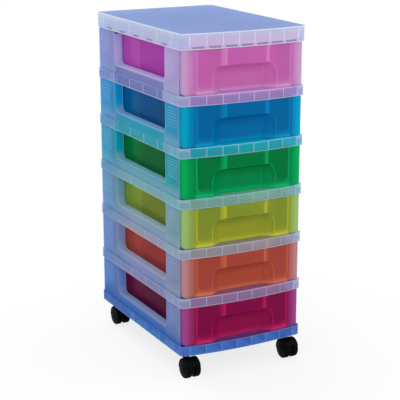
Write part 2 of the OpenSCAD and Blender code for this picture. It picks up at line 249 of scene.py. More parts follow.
def moulding(node, materials, rounding=ROUNDING, clamp=True, close=True, finish=None):
    """A piece that stands for a CAD node: its solid with whole flat faces, rounded edges and a finish. The
    first material is for its faces, the last for its rounded edges, and finish gives other faces theirs."""
    mesh = bmesh.new()
    mesh.from_mesh(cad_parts[node].data)
    bmesh.ops.remove_doubles(mesh, verts=mesh.verts, dist=WELD)
    if close:
        close_slivers(mesh, SLIVER)
    bmesh.ops.dissolve_limit(mesh, angle_limit=FLAT_ANGLE, verts=mesh.verts, edges=mesh.edges)
    for face in mesh.faces:
        face.material_index = 0
    if finish:
        finish(mesh)
    data = bpy.data.meshes.new(node + "_moulding")
    mesh.to_mesh(data)
    mesh.free()
    for material in materials:
        data.materials.append(material)
    data.shade_smooth()
    piece = bpy.data.objects.new(node + "_moulding", data)
    bpy.context.scene.collection.objects.link(piece)
    edges = piece.modifiers.new("rounded edges", "BEVEL")
    edges.width = rounding
    edges.segments = 2
    edges.limit_method = "ANGLE"
    edges.angle_limit = ROUND_ANGLE
    edges.material = len(materials) - 1
    edges.use_clamp_overlap = clamp
    shading = piece.modifiers.new("flat faces", "WEIGHTED_NORMAL")
    shading.keep_sharp = True
    shading.weight = 100
    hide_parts(node)
    return piece


# a face looks along an axis when its normal holds more of it than the first, and runs along the axis when
# its normal holds less of it than the second
FACING = 0.9
ALONG = 0.1

# how far inside the tower's outermost surface the middle of one of its faces can lie, on flat sides and on
# the bow, and how much a face of the bow looks to the front
SURFACE_REACH = 0.0005
BOW_REACH = 0.0008
BOW_FACING = 0.5


def outer_faces(mesh, low, high):
    """The upright faces of the tower's outermost surface between two heights."""
    found = []
    for face in mesh.faces:
        middle, out = face.calc_center_median(), face.normal
        if abs(out.z) > ALONG or not low - WELD < middle.z < high + WELD:
            continue
        bowed = math.hypot(middle.x, middle.y - BOW_CENTRE) > BOW_RADIUS - BOW_REACH and out.y < -BOW_FACING
        corner = abs(middle.x) > HALF_WIDTH - CORNER_WIDTH and middle.y < CORNER_BACK and out.x * middle.x > 0
        flat = abs(middle.x) > HALF_WIDTH - SURFACE_REACH or middle.y > BACK - SURFACE_REACH
        if bowed or corner or flat:
            found.append(face)
    return found


def score(mesh, faces, place, across):
    """Cuts a line over faces where a plane crosses them."""
    parts = set(faces)
    for face in faces:
        parts.update(face.edges, face.verts)
    bmesh.ops.bisect_plane(mesh, geom=list(parts), dist=WELD, plane_co=place, plane_no=across)


def mark_band(mesh, low, high, rib_low, rib_high, band, line):
    """Gives a band its finish, and its rims and the places where ribs meet it a milkier one. On the rims
    that finish is partly the thicker plate edge and partly a painted highlight of the rounded lips.
    """
    for height in (low + RIM_LINE, high - RIM_LINE, rib_low, rib_high):
        score(mesh, outer_faces(mesh, low, high), (0, 0, height), (0, 0, 1))
    for axis, ribs in ((0, RIBS_X), (1, RIBS_Y)):
        for rib in ribs:
            for edge in (rib - RIB_LINE, rib + RIB_LINE):
                faces = [f for f in outer_faces(mesh, low, high) if abs(f.normal[1 - axis]) > FACING]
                score(mesh, faces, (edge, edge, 0), (1 - axis, axis, 0))
    for face in outer_faces(mesh, low, high):
        middle = face.calc_center_median()
        across = abs(face.normal.y) > abs(face.normal.x)
        near = min(abs((middle.x if across else middle.y) - rib) for rib in (RIBS_X if across else RIBS_Y))
        rim = middle.z < low + RIM_LINE or middle.z > high - RIM_LINE
        rib = near < RIB_LINE and rib_low < middle.z < rib_high
        face.material_index = line if rim or rib else band


# the finishes of a lid's faces, by their place in its list of materials
LID_BAND, LID_LINE, LID_FACE = 1, 2, 3
LID_RIB_LOW = LID_BOTTOM + 0.007
LID_RIB_HIGH = LID_TOP - 0.003
LID_FACE_REACH = 0.0002

CATCH_LENGTH = 0.027
CATCH_HEIGHT = 0.0040
CATCH_DEPTH = 0.0004
CATCH_CORNER = 0.0010
CATCH_LEVEL = LID_BOTTOM + 0.0043
POCKET_DEPTH = 0.0006
POCKET_EASE = 0.0003
CATCHES_X = [RIB_PITCH_X * step for step in range(-3, 4)]
CATCHES_Y = [CENTRE_Y + RIB_PITCH_Y * step for step in range(-2, 3)]


def sink_pockets(mesh):
    """Shallow pockets low in the lid's band, one for each catch."""
    low = CATCH_LEVEL - CATCH_HEIGHT / 2 - POCKET_EASE
    high = CATCH_LEVEL + CATCH_HEIGHT / 2 + POCKET_EASE
    reach = CATCH_LENGTH / 2 + POCKET_EASE
    for height in (low, high):
        score(mesh, outer_faces(mesh, LID_BOTTOM, LID_TOP), (0, 0, height), (0, 0, 1))
    for axis, places in ((0, CATCHES_X), (1, CATCHES_Y)):
        for place in places:
            for end in (place - reach, place + reach):
                faces = [f for f in outer_faces(mesh, low, high) if abs(f.normal[1 - axis]) > FACING]
                score(mesh, faces, (end, end, 0), (1 - axis, axis, 0))
    for axis, places in ((0, CATCHES_X), (1, CATCHES_Y)):
        for way in (-1, 1):
            for place in places:
                floor_faces = [f for f in outer_faces(mesh, low, high) if f.normal[1 - axis] * way > FACING
                               and low < f.calc_center_median().z < high
                               and abs(f.calc_center_median()[axis] - place) < reach]
                sunk = bmesh.ops.extrude_face_region(mesh, geom=floor_faces)["geom"]
                inward = Vector((0, 0, 0))
                inward[1 - axis] = -way * POCKET_DEPTH
                moved = [part for part in sunk if isinstance(part, bmesh.types.BMVert)]
                bmesh.ops.translate(mesh, vec=inward, verts=moved)
                bmesh.ops.delete(mesh, geom=[f for f in floor_faces if f.is_valid], context="FACES")


def finish_lid(mesh):
    """Marks the lid's band and smooth top, and sinks the pockets for its catches."""
    mark_band(mesh, LID_BOTTOM, LID_TOP, LID_RIB_LOW, LID_RIB_HIGH, LID_BAND, LID_LINE)
    sink_pockets(mesh)
    for face in mesh.faces:
        if face.normal.z > FACING and face.calc_center_median().z > LID_TOP - LID_FACE_REACH:
            face.material_index = LID_FACE


LID_TINT = (0.92, 0.955, 0.99)
RIM_TINT = (0.95, 0.97, 1.0)
# painted shade for the back and right rims of the lid's top
SHADED_RIM = (0.08, 0.13, 0.27)
# the lid's band takes painted light from the pink drawer below: lilac over its front and pinker in the middle
# of the bow; the band is paler towards its top
pink_glow_front_of_band = ramp("Y", 0.10, -0.05, amount=0.8)
pink_glow_middle_of_bow = both(ramp("Y", -0.190, -0.202), ramp("X", 0.146, 0.122, amount=0.9, mirrored=True))
top_of_band = ramp("Z", LID_TOP - 0.013, LID_TOP - 0.004, amount=0.75)
front_of_top = ramp("Y", 0.0, -0.2, amount=0.7)
# a painted highlight on the left rim of the lid's top, and painted shade on its back and right rims
highlit_left_rim = ramp("X", -0.1468, -0.1482)
back_rim = ramp("Y", 0.2172, 0.2188, amount=0.8)
right_rim = ramp("X", 0.1465, 0.1480, amount=0.8)

lid_inside = see_through(
    "lid inner plastic", tint=LID_TINT, bloom=(0.62, 0.72, 0.95), share=0.10, edge_share=0.5, roughness=0.3,
    grain=0.03)
lid_side = see_through(
    "lid band plastic", tint=LID_TINT, bloom=(0.62, 0.74, 1.0), share=0.62, edge_share=0.85, roughness=0.3,
    zones=[(pink_glow_front_of_band, (0.67, 0.70, 0.98)), (pink_glow_middle_of_bow, (0.95, 0.74, 1.0)),
           (top_of_band, (0.80, 0.86, 1.0))])
lid_line = see_through(
    "lid rim plastic", tint=RIM_TINT, bloom=(0.85, 0.90, 1.0), share=0.80, edge_share=0.9, roughness=0.3)
lid_face = see_through(
    "satin lid plastic", tint=(0.62, 0.78, 0.97), bloom=(0.17, 0.31, 0.74), share=0.60, edge_share=0.85,
    roughness=0.4, grain=0.25, flow=0.16, gleam=0.15,
    zones=[(front_of_top, (0.22, 0.33, 0.74)), (highlit_left_rim, (0.72, 0.84, 1.0)),
           (back_rim, SHADED_RIM), (right_rim, SHADED_RIM)])
lid = moulding("top_lid", [lid_inside, lid_side, lid_line, lid_face, lid_line], close=False,
               finish=finish_lid)
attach(lid, "tower")


def sized_tree(name, sizes, counts=None):
    """An empty geometry tree with a named input for each size and count, and those inputs."""
    made = bpy.data.node_groups.new(name, "GeometryNodeTree")
    made.interface.new_socket("Geometry", in_out="OUTPUT", socket_type="NodeSocketGeometry")
    for label, value in sizes.items():
        made.interface.new_socket(label, in_out="INPUT", socket_type="NodeSocketFloat").default_value = value
    for label, value in (counts or {}).items():
        made.interface.new_socket(label, in_out="INPUT", socket_type="NodeSocketInt").default_value = value
    return made, put(made, "NodeGroupInput").outputs


def finish_tree(made, geometry, material):
    """Ends a geometry tree: its instances become real and take their material."""
    real = put(made, "GeometryNodeRealizeInstances", inputs={0: geometry})
    coloured = put(made, "GeometryNodeSetMaterial", inputs={
        "Geometry": real.outputs[0], "Material": material})
    put(made, "NodeGroupOutput", inputs={0: coloured.outputs[0]})


def grown(name, made, values, place, turn=0.0):
    """A plain mesh piece from a geometry tree with its inputs set, turned about Z and moved to its place."""
    holder = bpy.data.objects.new(name + "_growth", bpy.data.meshes.new(name + "_growth"))
    bpy.context.scene.collection.objects.link(holder)
    growth = holder.modifiers.new("growth", "NODES")
    growth.node_group = made
    for item in made.interface.items_tree:
        if item.in_out == "INPUT" and item.name in values:
            growth[item.identifier] = values[item.name]
    bpy.context.view_layer.update()
    evaluated = bpy.context.evaluated_depsgraph_get()
    data = bpy.data.meshes.new_from_object(holder.evaluated_get(evaluated), depsgraph=evaluated)
    holder.modifiers.remove(growth)
    bpy.data.objects.remove(holder)
    data.transform(Matrix.Translation(place) @ Matrix.Rotation(turn, 4, "Z"))
    data.name = name
    piece = bpy.data.objects.new(name, data)
    bpy.context.scene.collection.objects.link(piece)
    return piece


# the bow that the floors of the front pockets follow, and one so wide that a row on it is straight
FRONT_BOW = BOW_RADIUS - POCKET_DEPTH
STRAIGHT = 1e4
CATCH_WELD = 1e-6


def catch_tree(material):
    """Rounded plates that stand upright in a row, which bends to a bow."""
    made, sizes = sized_tree("lid catches", {
        "Length": CATCH_LENGTH, "Height": CATCH_HEIGHT, "Depth": CATCH_DEPTH, "Corner": CATCH_CORNER,
        "Pitch": RIB_PITCH_X, "Bow radius": FRONT_BOW}, {"Count": len(CATCHES_X)})
    outline = put(made, "GeometryNodeCurvePrimitiveQuadrilateral", inputs={
        "Width": sizes["Length"], "Height": sizes["Height"]})
    rounded = put(made, "GeometryNodeFilletCurve", {"mode": "POLY"}, {
        "Curve": outline.outputs[0], "Count": 3, "Radius": sizes["Corner"]})
    plate = put(made, "GeometryNodeFillCurve", {"mode": "NGONS"}, {0: rounded.outputs[0]})
    raised = put(made, "GeometryNodeExtrudeMesh", {"mode": "FACES"}, {
        "Mesh": plate.outputs[0], "Offset Scale": sizes["Depth"]})
    under = put(made, "GeometryNodeFlipFaces", inputs={0: plate.outputs[0]})
    solid = put(made, "GeometryNodeJoinGeometry")
    made.links.new(raised.outputs[0], solid.inputs[0])
    made.links.new(under.outputs[0], solid.inputs[0])
    closed = put(made, "GeometryNodeMergeByDistance", inputs={
        "Geometry": solid.outputs[0], "Distance": CATCH_WELD})
    upright = put(made, "GeometryNodeTransform", inputs={
        "Geometry": closed.outputs[0], "Rotation": (math.pi / 2, 0, 0)})
    number = put(made, "GeometryNodeInputIndex").outputs[0]
    middle = calc(made, "MULTIPLY", calc(made, "SUBTRACT", sizes["Count"], 1.0), 0.5)
    along = calc(made, "MULTIPLY", calc(made, "SUBTRACT", number, middle), sizes["Pitch"])
    angle = calc(made, "DIVIDE", along, sizes["Bow radius"])
    across = calc(made, "MULTIPLY", calc(made, "SINE", angle), sizes["Bow radius"])
    half_sine = calc(made, "SINE", calc(made, "MULTIPLY", angle, 0.5))
    twice_radius = calc(made, "MULTIPLY", sizes["Bow radius"], 2.0)
    fallen = calc(made, "MULTIPLY", calc(made, "POWER", half_sine, 2.0), twice_radius)
    spot = put(made, "ShaderNodeCombineXYZ", inputs={0: across, 1: fallen})
    row = put(made, "GeometryNodePoints", inputs={"Count": sizes["Count"], "Position": spot.outputs[0]})
    facing = put(made, "ShaderNodeCombineXYZ", inputs={2: angle})
    placed = put(made, "GeometryNodeInstanceOnPoints", inputs={
        "Points": row.outputs[0], "Instance": upright.outputs[0]})
    turned = put(made, "GeometryNodeRotateInstances", inputs={
        "Instances": placed.outputs[0], "Rotation": facing.outputs[0]})
    finish_tree(made, turned.outputs[0], material)
    return made


# the catches are the same clear plastic as the lid; their grey-lilac is painted shade, which shows as dark
# dashes low in each cell of the lid's band
shade_grey_catch_plastic = see_through(
    "lid catch plastic painted grey as shade", tint=(0.7, 0.7, 0.8), bloom=(0.42, 0.38, 0.60), share=0.7, edge_share=0.9,
    roughness=0.35, gleam=0.1)
catches = catch_tree(shade_grey_catch_plastic)
front_row = {"Count": len(CATCHES_X), "Pitch": RIB_PITCH_X, "Bow radius": FRONT_BOW}
side_row = {"Count": len(CATCHES_Y), "Pitch": RIB_PITCH_Y, "Bow radius": STRAIGHT}
back_row = {"Count": len(CATCHES_X), "Pitch": RIB_PITCH_X, "Bow radius": STRAIGHT}
for side, values, place, turn in (
        ("front", front_row, (0, BOW_CENTRE - FRONT_BOW, CATCH_LEVEL), 0.0),
        ("left", side_row, (-HALF_WIDTH + POCKET_DEPTH, CENTRE_Y, CATCH_LEVEL), -math.pi / 2),
        ("right", side_row, (HALF_WIDTH - POCKET_DEPTH, CENTRE_Y, CATCH_LEVEL), math.pi / 2),
        ("back", back_row, (0, BACK - POCKET_DEPTH, CATCH_LEVEL), math.pi)):
    row = grown(f"lid_catches_{side}", catches, values, place, turn)
    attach(row, "tower")

# ---- Cases ----
# Each case is one clear moulding: a ribbed tray, a back wall, side skins with an open window, and hollow
# side boxes that guide a drawer. The walls of each case stand inside the band of the one above.

CASES = 6
CASE_FOOT = 0.054
CASE_PITCH = 0.110
BAND_HEIGHT = 0.022
BAND_RIB_START = 0.0005
BAND_RIB_STOP = 0.001
SIDE_SKIN = 0.1450
BACK_PART = 0.21
BACK_SKIN = 0.2175
WINDOW_MIDDLE = -0.00075
WINDOW_HALF = 0.1295
WINDOW_CORNER = 0.014
WINDOW_SILL = 0.042
ABOVE_CASE = 0.16

# where the faces of a window's reveal lie
REVEAL_X = (0.1275, 0.1475)
REVEAL_Y = (-0.1330, 0.1315)
REVEAL_FOOT = 0.0395

# the finishes of a case's faces, by their place in its list of materials
CASE_BAND, CASE_SKIN, CASE_LINE, CASE_REVEAL = 1, 2, 3, 4

CASE_TINT = (0.93, 0.97, 0.995)
CASE_BLOOM = (0.12, 0.50, 1.0)
CLEAR = 0.96
COOL_WHITE = (0.86, 0.90, 1.0)
FROSTED = (0.62, 0.84, 1.0)
PALE = (0.72, 0.86, 1.0)
# painted highlights on the rounded front corners of the skins and bands
SKIN_CORNER_PAINTED_HIGHLIGHT = (0.70, 0.78, 0.95)
SKIN_END_PAINTED_HIGHLIGHT = (0.80, 0.86, 1.0)
BAND_CORNER_PAINTED_HIGHLIGHT = (0.72, 0.82, 0.98)
BAND_CORNER_END_PAINTED_HIGHLIGHT = (0.86, 0.92, 1.0)

# each case from the top one down: what its skins, its band's front, its side below the window and its tray
# below the finger recess scatter, which is the drawer's coloured light painted into the clear plastic; how
# frosted its columns are; and how much of the painted deeper blue gathers at its back
CASE_LOOKS = [
    ((0.70, 0.60, 0.92), (0.69, 0.36, 0.76), (0.26, 0.32, 0.66), (1.00, 0.66, 1.00), 0.5, 0.60),
    ((0.00, 0.50, 0.80), (0.00, 0.65, 0.76), (0.00, 0.58, 0.74), (0.00, 0.82, 1.00), 0.5, 0.44),
    ((0.00, 0.52, 0.64), (0.37, 0.69, 0.61), (0.30, 0.63, 0.80), (0.31, 0.77, 0.60), 0.5, 0.46),
    ((0.29, 0.53, 0.64), (0.62, 0.53, 0.60), (0.42, 0.58, 0.80), (0.58, 0.54, 0.42), 0.5, 0.58),
    ((0.36, 0.46, 0.72), (0.57, 0.31, 0.63), (0.37, 0.48, 0.87), (0.60, 0.24, 0.40), 0.4, 0.68),
    ((0.27, 0.40, 0.78), (0.30, 0.36, 0.70), (0.06, 0.42, 0.92), (0.34, 0.10, 0.38), 0.3, 0.92),
]


def drawer_light_tint(bloom, amount):
    """The light that a wall passes, with a painted share of the drawer's coloured light in it."""
    return tuple(CLEAR - amount * (1 - c / max(bloom)) for c in bloom)


def finish_case(low):
    """The finish of a case that starts at a height: its band, its outer skins and its windows' edges."""
    def finish(mesh):
        top = low + BAND_HEIGHT
        mark_band(mesh, low, top, low + BAND_RIB_START, top - BAND_RIB_STOP, CASE_BAND, CASE_LINE)
        for face in outer_faces(mesh, top - RIM_LINE, top):
            if abs(face.normal.x) > FACING:
                face.material_index = CASE_BAND
        for face in mesh.faces:
            middle, out = face.calc_center_median(), face.normal
            if middle.z < top:
                continue
            outward = out.x * middle.x > 0 or middle.y > BACK_PART and out.y > 0
            at_window = REVEAL_X[0] < abs(middle.x) < REVEAL_X[1] and REVEAL_Y[0] < middle.y < REVEAL_Y[1]
            if at_window and abs(out.x) < ALONG and middle.z > low + REVEAL_FOOT:
                face.material_index = CASE_REVEAL
            elif outward and (abs(middle.x) > SIDE_SKIN or middle.y > BACK_SKIN):
                face.material_index = CASE_SKIN
    return finish


# how far from a window's middle the columns before and behind it begin, and where they are full
COLUMN_START = 0.121
COLUMN_FULL = 0.125
front_column = ramp("Y", WINDOW_MIDDLE - COLUMN_START, WINDOW_MIDDLE - COLUMN_FULL)
back_column = ramp("Y", WINDOW_MIDDLE + COLUMN_START, WINDOW_MIDDLE + COLUMN_FULL)
between_columns = both(ramp("Y", WINDOW_MIDDLE - COLUMN_FULL, WINDOW_MIDDLE - COLUMN_START),
                       ramp("Y", WINDOW_MIDDLE + COLUMN_FULL, WINDOW_MIDDLE + COLUMN_START))
# painted highlight at the skins' rounded front corners and ends
skin_corner = ramp("Y", -0.186, -0.200, amount=0.7)
skin_end = ramp("Y", -0.1965, -0.1985, amount=0.85)
band_side = ramp("X", 0.1440, 0.1450, mirrored=True)
band_front = ramp("Y", -0.193, -0.200, amount=0.9)
# painted highlight at the bands' rounded front corners
band_corner = both(ramp("X", 0.1285, 0.1305, amount=0.75, mirrored=True), ramp("Y", -0.180, -0.196))
band_corner_end = both(ramp("X", 0.1285, 0.1305, amount=0.6, mirrored=True), ramp("Y", -0.186, -0.200))
tray_front = both(ramp("Y", -0.188, -0.194), ramp("X", 0.125, 0.110, mirrored=True))
reveal_inside = ramp("X", 0.1300, 0.1290, amount=0.8, mirrored=True)

for level, (skin, band, below_window, below_recess, frost, rear_painted_blue) in enumerate(CASE_LOOKS, start=1):
    low = CASE_FOOT + (CASES - level) * CASE_PITCH
    sill = low + WINDOW_SILL
    bright = toned(skin, COOL_WHITE, 0.5)
    fine = toned(skin, COOL_WHITE, 0.28)
    milky = toned(skin, FROSTED, frost)
    reveal_bloom = [min(1.0, 1.2 * c) for c in skin]
    lower_skin = ramp("Z", low + 0.054, low + 0.028, amount=0.8)
    under_sill = ramp("Z", sill - 0.002, sill - 0.006, amount=0.9)
    window_edge = along_frame("Y", WINDOW_MIDDLE, WINDOW_HALF, sill, low + ABOVE_CASE, WINDOW_CORNER,
                              rise=(-0.0002, 0.0002), fall=(0.0034, 0.0012), amount=0.9)
    band_top = ramp("Z", low + 0.012, low + 0.019)
    tray_edge = both(ramp("Z", low + 0.014, low + 0.019), ramp("Z", low + 0.026, low + 0.024))
    reveal_foot = ramp("Z", sill + 0.020, sill + 0.002, amount=0.9)
    skin_zones = [
        (both(front_column, lower_skin), milky),
        (both(back_column, lower_skin), milky),
        (skin_corner, toned(skin, SKIN_CORNER_PAINTED_HIGHLIGHT, 0.4)),
        (skin_end, SKIN_END_PAINTED_HIGHLIGHT),
        (both(between_columns, under_sill), below_window),
        (window_edge, bright),
    ]
    band_zones = [
        (both(between_columns, band_side), below_window),
        (both(front_column, band_side), milky),
        (both(back_column, band_side), milky),
        (band_front, band),
        (band_corner, toned(skin, BAND_CORNER_PAINTED_HIGHLIGHT, 0.6)),
        (both(band_corner_end, band_top), BAND_CORNER_END_PAINTED_HIGHLIGHT),
    ]
    # the tray below the finger recess is a lit part: the drawer's glowing light painted onto it
    case_inside = see_through(
        f"case {level} inner plastic", tint=CASE_TINT, bloom=CASE_BLOOM, share=0.04, edge_share=0.35,
        roughness=0.25, grain=0.02, gleam=0.10, back=0.5, blue=1.0,
        lit=[(both(tray_front, tray_edge), below_recess, 0.65)])
    case_band = see_through(
        f"case {level} band plastic", tint=drawer_light_tint(band, 0.5), bloom=milky, share=0.48, edge_share=0.65,
        roughness=0.25, grain=0.03, gleam=0.12, blue=0.8, rear_painted_blue=rear_painted_blue, zones=band_zones)
    case_skin = see_through(
        f"case {level} skin plastic", tint=drawer_light_tint(skin, 0.6), bloom=skin, share=0.50, edge_share=0.8,
        roughness=0.3, gleam=0.12, blue=0.9, rear_painted_blue=rear_painted_blue, zones=skin_zones)
    case_line = see_through(
        f"case {level} rim plastic", tint=RIM_TINT, bloom=bright, share=0.65, edge_share=0.9, roughness=0.25,
        blue=0.7)
    case_reveal = see_through(
        f"case {level} window plastic", tint=RIM_TINT, bloom=reveal_bloom, share=0.70, edge_share=0.9,
        roughness=0.25, gleam=0.15, blue=0.2,
        zones=[(reveal_foot, toned(skin, PALE, 0.55)), (reveal_inside, bright)])
    # the rounded edges are lighter than the faces: partly the plastic seen edge on, partly a painted
    # highlight
    case_edge = see_through(
        f"case {level} edge plastic", tint=RIM_TINT, bloom=fine, share=0.6, edge_share=0.9, roughness=0.25,
        gleam=0.15, blue=0.5)
    case = moulding(f"case_{level}", [case_inside, case_band, case_skin, case_line, case_reveal, case_edge],
                    finish=finish_case(low))
    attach(case, "tower")

# ---- Drawers ----
# Each drawer is one glossy see-through moulding in its own colour: a box, a bowed front with turned-back
# ends, a hollow pad at the top of the front and a finger recess below it.

FRONT_PART = -0.190
PANEL_Y = -0.2095
BOX_HALF = 0.1165
BOX_FLOOR = 0.004
BOX_CORNER = 0.020
MOUTH_HALF = 0.076
MOUTH_HEIGHT = 0.058
MOUTH_CORNER = 0.028
OFF_DRAWER = 0.3

# where the front's slanted faces lie that meet the box's sides and the pad's, and how they slant
BOX_SIDE = (0.1085, 0.1262)
PAD_SIDE = (0.0465, 0.0595)
SLANT = (0.15, 0.985)

# the finishes of a drawer's faces, by their place in its list of materials
DRAWER_FRONT, DRAWER_JOINT = 1, 2

# colour name: the light passed by one wall, which has two surfaces, then what the front, its ends, its bright
# lines of painted highlight, the walls and their parts lit by painted light scatter
DRAWER_COLOURS = {
    "pink": ((0.82, 0.42, 0.76), (0.95, 0.28, 0.74), (1.00, 0.78, 1.00),
             (1.00, 0.46, 0.84), (0.62, 0.05, 0.62), (1.00, 0.22, 0.86)),
    "blue": ((0.00, 0.48, 0.80), (0.00, 0.30, 0.65), (0.00, 0.82, 1.00),
             (0.00, 0.44, 0.86), (0.00, 0.14, 0.30), (0.00, 0.36, 0.54)),
    "green": ((0.00, 0.52, 0.14), (0.00, 0.40, 0.115), (0.00, 0.88, 0.24),
              (0.00, 0.76, 0.28), (0.00, 0.27, 0.08), (0.00, 0.50, 0.14)),
    "lime": ((0.58, 0.64, 0.14), (0.48, 0.58, 0.08), (0.70, 1.00, 0.42),
             (0.90, 0.86, 0.05), (0.38, 0.47, 0.08), (0.60, 0.84, 0.14)),
    "orange": ((0.70, 0.24, 0.18), (0.74, 0.15, 0.11), (0.98, 0.60, 0.66),
               (1.00, 0.26, 0.10), (0.66, 0.09, 0.10), (0.95, 0.20, 0.12)),
    "crimson": ((0.52, 0.03, 0.20), (0.47, 0.008, 0.15), (0.84, 0.17, 0.64),
                (0.95, 0.02, 0.22), (0.17, 0.006, 0.10), (0.36, 0.012, 0.15)),
}


def finish_drawer(mesh):
    """Gives a drawer's front its finish, and the joints of its box and pad and its recess a brighter one,
    which is partly the thicker plastic seen edge on and partly a painted highlight.
    """
    for face in mesh.faces:
        middle, out = face.calc_center_median(), face.normal
        if middle.y > FRONT_PART:
            continue
        slanted = abs(out.z) < ALONG and SLANT[0] < abs(out.x) < SLANT[1]
        corner = slanted and BOX_SIDE[0] < abs(middle.x) < BOX_SIDE[1]
        flank = slanted and PAD_SIDE[0] < abs(middle.x) < PAD_SIDE[1]
        mouth = abs(out.y) < ALONG and abs(middle.x) < MOUTH_HALF and middle.y < PANEL_Y
        face.material_index = DRAWER_JOINT if corner or flank or mouth else DRAWER_FRONT


over_recess = ramp("X", 0.075, 0.066, mirrored=True)
end_start = ramp("X", 0.1165, 0.1215, amount=0.85, mirrored=True)
end_rest = ramp("X", 0.1220, 0.1400, mirrored=True)
beside_pad = ramp("X", 0.050, 0.060, mirrored=True)
across_foot = ramp("X", 0.122, 0.112, mirrored=True)
beside_recess = both(ramp("X", 0.0475, 0.0575, amount=0.7, mirrored=True),
                     ramp("X", 0.062, 0.060, mirrored=True))
wall_middle = ramp("Y", 0.032, 0.042, amount=0.55)
wall_rear = ramp("Y", 0.05, 0.12, amount=0.9)

for level, (colour, looks) in enumerate(DRAWER_COLOURS.items(), start=1):
    passed, front, ends, bright, walls, painted_lit_walls = looks
    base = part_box(f"drawer_{level}")[0].z
    one_surface = [math.sqrt(c) for c in passed]
    painted_lit_front = toned(front, bright, 0.5)
    shared = {"tint": one_surface, "roughness": 0.2, "grain": 0.03, "gleam": 0.4,
              "gleam_tint": toned(front, WHITE, 0.06)}
    box_corner_highlight = along_frame("X", 0.0, BOX_HALF, base + BOX_FLOOR, base + OFF_DRAWER, BOX_CORNER,
                           rise=(-0.0066, -0.0050), fall=(0.0012, -0.0032))
    mouth_rim_highlight = along_frame("X", 0.0, MOUTH_HALF, base - OFF_DRAWER, base + MOUTH_HEIGHT, MOUTH_CORNER,
                             rise=(-0.0010, 0.0002), fall=(0.0032, 0.0012), amount=0.9)
    # painted light on the front: livelier over the recess and low down; painted highlights of the box's
    # rounded corners and floor edge seen through the front, and of the recess's rim
    front_zones = [
        (both(ramp("Z", base + 0.054, base + 0.030, amount=0.9), over_recess), painted_lit_front),
        (ramp("Z", base + 0.026, base + 0.004, amount=0.9), painted_lit_front),
        (end_start, toned(front, ends, 0.4)),
        (end_rest, ends),
        (box_corner_highlight, bright),
        (both(mouth_rim_highlight, beside_pad), bright),
    ]
    # painted light on the walls: lighter from the middle towards the back, and low down
    wall_zones = [
        (wall_middle, painted_lit_walls),
        (wall_rear, painted_lit_walls),
        (ramp("Z", base + 0.018, base + 0.009, amount=0.9), painted_lit_walls),
    ]
    # painted light at the foot of the front
    painted_lit_front_foot = both(ramp("Z", base + 0.017, base + 0.003), across_foot)
    drawer_walls = see_through(
        f"{colour} wall plastic", bloom=walls, share=0.30, edge_share=0.6, back=0.4, zones=wall_zones,
        **shared)
    drawer_front = see_through(
        f"{colour} front plastic", bloom=front, share=0.40, edge_share=0.7, flow=0.08, zones=front_zones,
        lit=[(painted_lit_front_foot, toned(bright, ends, 0.15), 0.62)], **shared)
    drawer_joint = see_through(
        f"{colour} joint plastic", bloom=bright, share=0.50, edge_share=0.8, zones=[(beside_recess, front)],
        **shared)
    # the rounded edges are lighter than the faces: partly the plastic seen edge on, partly a painted
    # highlight
    drawer_edge = see_through(f"{colour} edge plastic", bloom=bright, share=0.5, edge_share=0.8, **shared)
    drawer = moulding(f"drawer_{level}", [drawer_walls, drawer_front, drawer_joint, drawer_edge], clamp=False,
                      finish=finish_drawer)
    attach(drawer, f"drawer_{level}")

# ---- Castors ----
# Four bought-in twin-wheel castors. The hood and both wheels are moulded in black nylon; the axle and the
# stem are zinc-plated steel. A split ring of spring steel grips the stem in its socket under the tower.

STEM_Y = {"front": -0.17825, "back": 0.19175}
AXLE_TRAIL = 0.020
AXLE_HEIGHT = 0.021
TREAD_RADIUS = 0.0195
TREAD_SLOPE = 0.7
METAL_ROUNDING = 0.0003
RING_RADIUS = 0.00475
RING_STRIP = 0.0012
RING_HEIGHT = 0.006
RING_CORNER = 0.00025
RING_SPLIT = math.radians(34)
RING_EASE = 0.0001
BLACK_NYLON = (0.0012, 0.0012, 0.0012)
GLOSS_CHANGE = 0.1


def worn_finish(name, shade, other_shade, roughness, grain, metallic=0.0, specular=0.05,
                streaks=(1.0, 1.0, 1.0), patch=55.0):
    """An opaque finish. Its shade and gloss vary in soft patches, and it has a fine grain that can run in
    streaks."""
    material, tree = new_material(name)
    place = put(tree, "ShaderNodeTexCoord").outputs["Object"]
    patches = put(tree, "ShaderNodeTexNoise", inputs={
        "Vector": place, "Scale": patch, "Detail": 4.0, "Roughness": 0.6}).outputs["Fac"]
    drawn = put(tree, "ShaderNodeMapping", inputs={"Vector": place, "Scale": streaks})
    lines = put(tree, "ShaderNodeTexNoise", inputs={
        "Vector": drawn.outputs[0], "Scale": 900.0, "Detail": 3.0})
    relief = put(tree, "ShaderNodeBump", inputs={
        "Height": lines.outputs["Fac"], "Strength": grain, "Distance": 0.0002})
    gloss = put(tree, "ShaderNodeMapRange", inputs={
        "Value": patches, "To Min": roughness - GLOSS_CHANGE, "To Max": roughness + GLOSS_CHANGE})
    body = put(tree, "ShaderNodeBsdfPrincipled", inputs={
        "Base Color": blend(tree, patches, shade, other_shade), "Roughness": gloss.outputs[0],
        "Metallic": metallic, "Specular IOR Level": specular, "Normal": relief.outputs[0]})
    put(tree, "ShaderNodeOutputMaterial", inputs={"Surface": body.outputs[0]})
    return material


